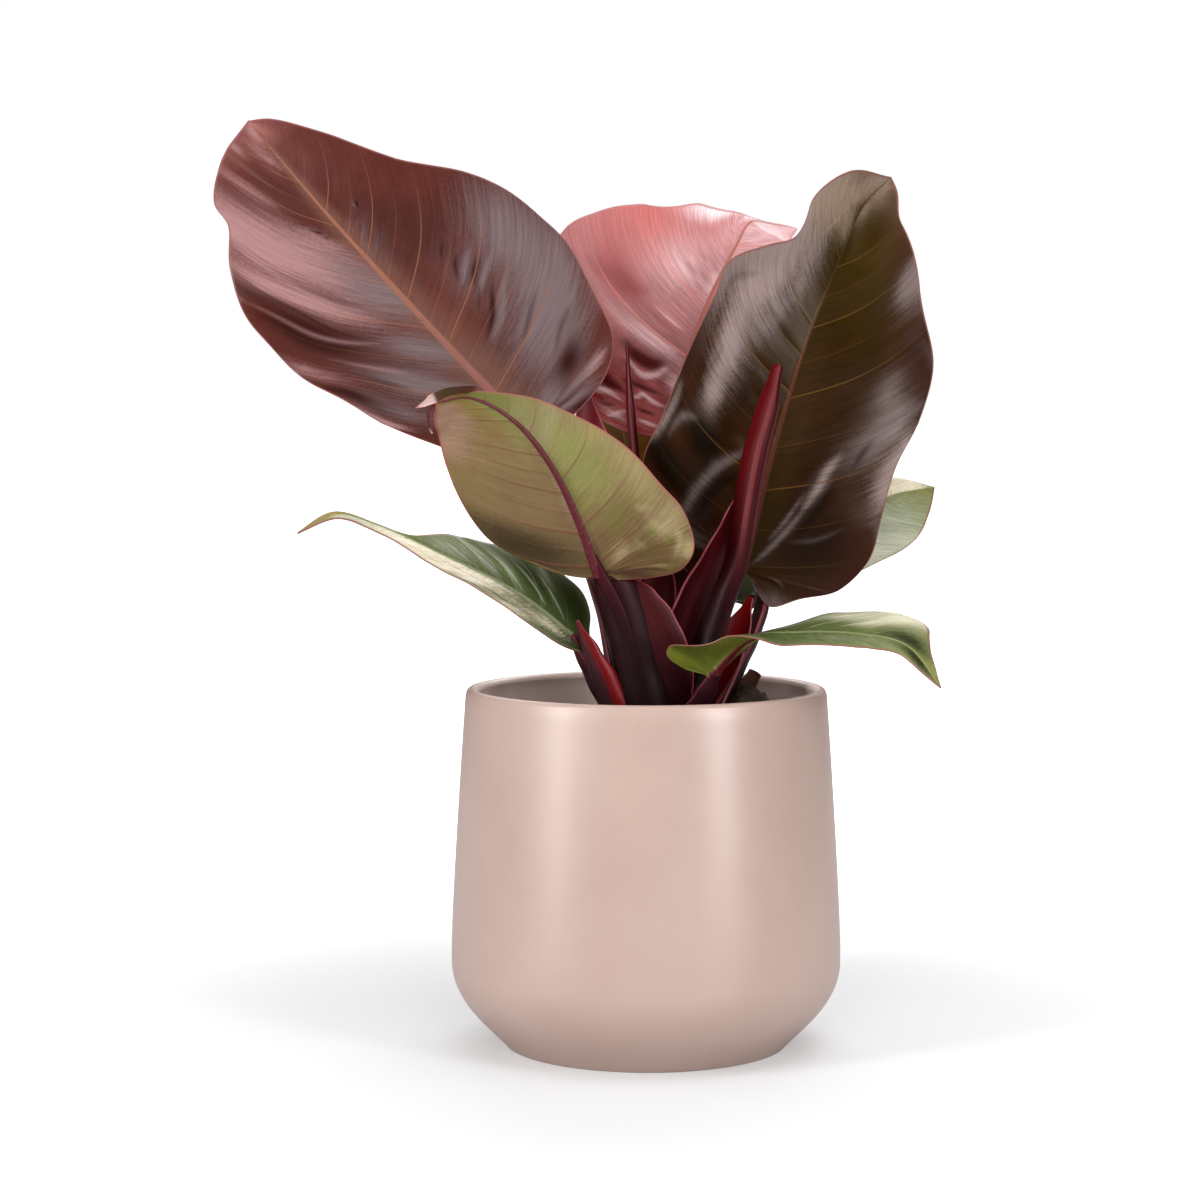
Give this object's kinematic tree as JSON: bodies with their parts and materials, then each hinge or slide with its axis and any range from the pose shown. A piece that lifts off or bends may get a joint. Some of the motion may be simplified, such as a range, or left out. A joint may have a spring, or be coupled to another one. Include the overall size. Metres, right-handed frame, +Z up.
{
  "type": "potted cherry red philodendron",
  "caption": "Broad-leaved house plant with red sheathed stalks and rolled new leaves, growing from soil in a round-shouldered ceramic pot that stands on its foot.",
  "frame": {"origin": "middle of the pot's flat base, on the surface it stands on", "axes": "+Z up, +X to the right and +Y away as seen from the front"},
  "size_m": [0.3084, 0.2221, 0.3833],
  "materials": {
    "ceramic": "satin",
    "potting_soil": "matte",
    "crown_bark": "matte",
    "stalk": "satin",
    "sheath": "satin",
    "new_leaf": "gloss",
    "dry_sheath": "matte",
    "burgundy_leaf": "gloss",
    "dark_leaf": "gloss",
    "red_leaf": "satin",
    "olive_leaf": "satin",
    "green_leaf": "gloss"
  },
  "bodies": {
    "root": {"pot": "ceramic", "soil": "potting_soil", "crown": "crown_bark", "stalk_front": "stalk", "stalk_new_leaf": "stalk", "stalk_low_left": "stalk", "stalk_low_right": "stalk", "stalk_upper_right": "stalk", "stalk_upper_left": "stalk", "stalk_back": "stalk", "stalk_low_back": "stalk", "stalk_behind": "stalk", "sheath_new_leaf": "sheath", "sheath_left": "sheath", "sheath_right": "sheath", "sheath_middle": "sheath", "sheath_back": "sheath", "rolled_leaf": "new_leaf", "thin_rolled_leaf": "new_leaf", "dry_scale": "dry_sheath", "leaf_upper_left": "burgundy_leaf", "leaf_upper_right": "dark_leaf", "leaf_back": "red_leaf", "leaf_front": "olive_leaf", "leaf_behind": "olive_leaf", "leaf_low_left": "green_leaf", "leaf_low_right": "green_leaf", "leaf_low_back": "green_leaf"}
  },
  "joints": []
}
